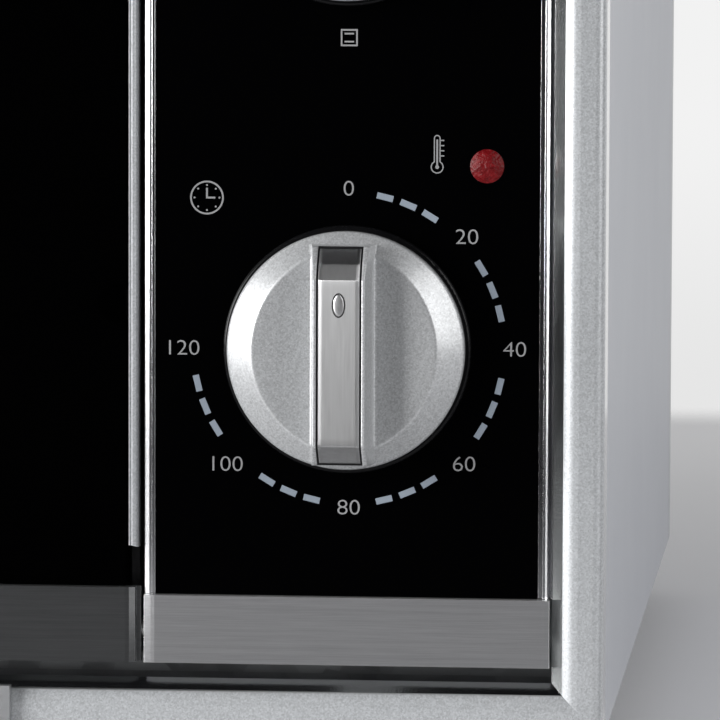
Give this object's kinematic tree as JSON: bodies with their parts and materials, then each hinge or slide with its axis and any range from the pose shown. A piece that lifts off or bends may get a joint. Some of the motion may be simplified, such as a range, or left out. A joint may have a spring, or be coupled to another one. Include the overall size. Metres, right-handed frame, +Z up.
{
  "type": "electric countertop oven",
  "caption": "Free-standing electric countertop oven with a drop-down glass door, bar handle, wire rack, trays and a column of rotary knobs with numbered dials.",
  "frame": {"origin": "on the surface the feet stand on, under the middle of the whole oven's box", "axes": "+Z up, the front with the door faces -Y, +X to the right seen from the front"},
  "size_m": [0.48, 0.4, 0.325],
  "materials": {
    "silver_flake_paint": "silver paint with a fine metallic flake",
    "silver_satin_paint": "smooth satin silver paint",
    "knob_silver": "moulded plastic under silver flake paint, fine satin grain",
    "brushed_steel": "brushed along its length",
    "black_glass": "black gloss glass",
    "clear_glass": "clear tempered glass",
    "lamp_glass": "clear lamp glass",
    "bright_trim": "bright drawn edge trim",
    "chrome_wire": "chrome-plated wire",
    "bright_steel": "bright zinc-plated steel",
    "zinc_steel": "zinc-coated sheet steel with a faint spangle",
    "bright_sheet": "aluminised sheet",
    "grey_enamel": "dark grey enamel with fine white specks",
    "black_enamel": "black enamel with fine white specks",
    "black_paint": "satin black paint",
    "element_sheath": "heat-darkened steel sheath",
    "ceramic": "unglazed ceramic",
    "silicone": "black silicone",
    "rubber": "black rubber",
    "black_plastic": "moulded black plastic",
    "cream_plastic": "moulded heat-resistant plastic",
    "red_lens": "dimpled translucent red plastic",
    "copper": "drawn copper",
    "wire_sleeve": "woven glass-fibre sleeve"
  },
  "bodies": {
    "chassis": {"front_frame": "silver_flake_paint", "housing_wrap": "silver_satin_paint", "back_panel": "zinc_steel", "base_plate": "zinc_steel", "front_plate": "zinc_steel", "control_bracket": "zinc_steel", "feet": "rubber", "cavity_liner": "grey_enamel", "rack_guide_left": "chrome_wire", "rack_guide_right": "chrome_wire", "bottom_heating_element": "element_sheath", "top_heating_element": "element_sheath", "element_bushings": "ceramic", "element_supports": "zinc_steel", "door_seal": "silicone", "hinge_brackets": "zinc_steel", "back_screws": "bright_steel", "panel_glass": "black_glass", "panel_side_trims": "bright_trim", "panel_bottom_strip": "brushed_steel", "timer_mechanism": "black_plastic", "timer_bell": "bright_steel", "function_switch": "cream_plastic", "thermostat_body": "ceramic", "thermostat_sensor": "copper", "sensor_clips": "bright_steel", "indicator_lens": "red_lens", "indicator_holder": "black_plastic", "oven_lamp_cover": "lamp_glass", "oven_lamp_holder": "ceramic", "oven_lamp_bulb": "lamp_glass", "terminal_block": "cream_plastic", "cord_gland": "black_plastic", "wiring_loom": "wire_sleeve", "wire_clips": "black_plastic"},
    "door": {"door_frame": "black_paint", "door_outer_glass": "black_glass", "door_inner_glass": "clear_glass", "door_edges": "silver_flake_paint", "door_bottom_strip": "brushed_steel", "handle_bar": "brushed_steel", "handle_posts": "silver_flake_paint", "hinge_arms": "zinc_steel", "hinge_pins": "bright_steel", "door_screws": "bright_steel"},
    "rack": {"wire_rack": "chrome_wire", "baking_tray": "black_enamel"},
    "crumb_drawer": {"crumb_tray": "bright_sheet"},
    "timer_knob": {"timer_knob_cap": "knob_silver", "timer_knob_insert": "brushed_steel", "timer_knob_core": "black_plastic", "timer_shaft": "bright_steel"},
    "function_knob": {"function_knob_cap": "knob_silver", "function_knob_insert": "brushed_steel", "function_knob_core": "black_plastic", "function_shaft": "bright_steel"},
    "temperature_knob": {"temperature_knob_cap": "knob_silver", "temperature_knob_insert": "brushed_steel", "temperature_knob_core": "black_plastic", "temperature_shaft": "bright_steel"}
  },
  "joints": [
    {"name": "door_hinge", "type": "hinge", "parent": "chassis", "child": "door", "pos_m": [0, -0.1558, 0.034], "axis": [1, 0, 0], "range_deg": [0, 85]},
    {"name": "rack_slide", "type": "slide", "parent": "chassis", "child": "rack", "axis": [0, -1, 0], "range_m": [0, 0.15]},
    {"name": "crumb_tray_slide", "type": "slide", "parent": "chassis", "child": "crumb_drawer", "axis": [0, -1, 0], "range_m": [0, 0.2]},
    {"name": "timer_turn", "type": "hinge", "parent": "chassis", "child": "timer_knob", "pos_m": [0.1914, -0.159, 0.0881], "axis": [0, 1, 0], "range_deg": [0, 270]},
    {"name": "function_turn", "type": "hinge", "parent": "chassis", "child": "function_knob", "pos_m": [0.1914, -0.159, 0.1761], "axis": [0, 1, 0], "range_deg": [0, 180]},
    {"name": "temperature_turn", "type": "hinge", "parent": "chassis", "child": "temperature_knob", "pos_m": [0.1914, -0.159, 0.2641], "axis": [0, 1, 0], "range_deg": [0, 270]}
  ],
  "couplings": [
    {"joint": "rack_slide", "follows": "door_hinge", "m_per_rad": 0.1011}
  ]
}
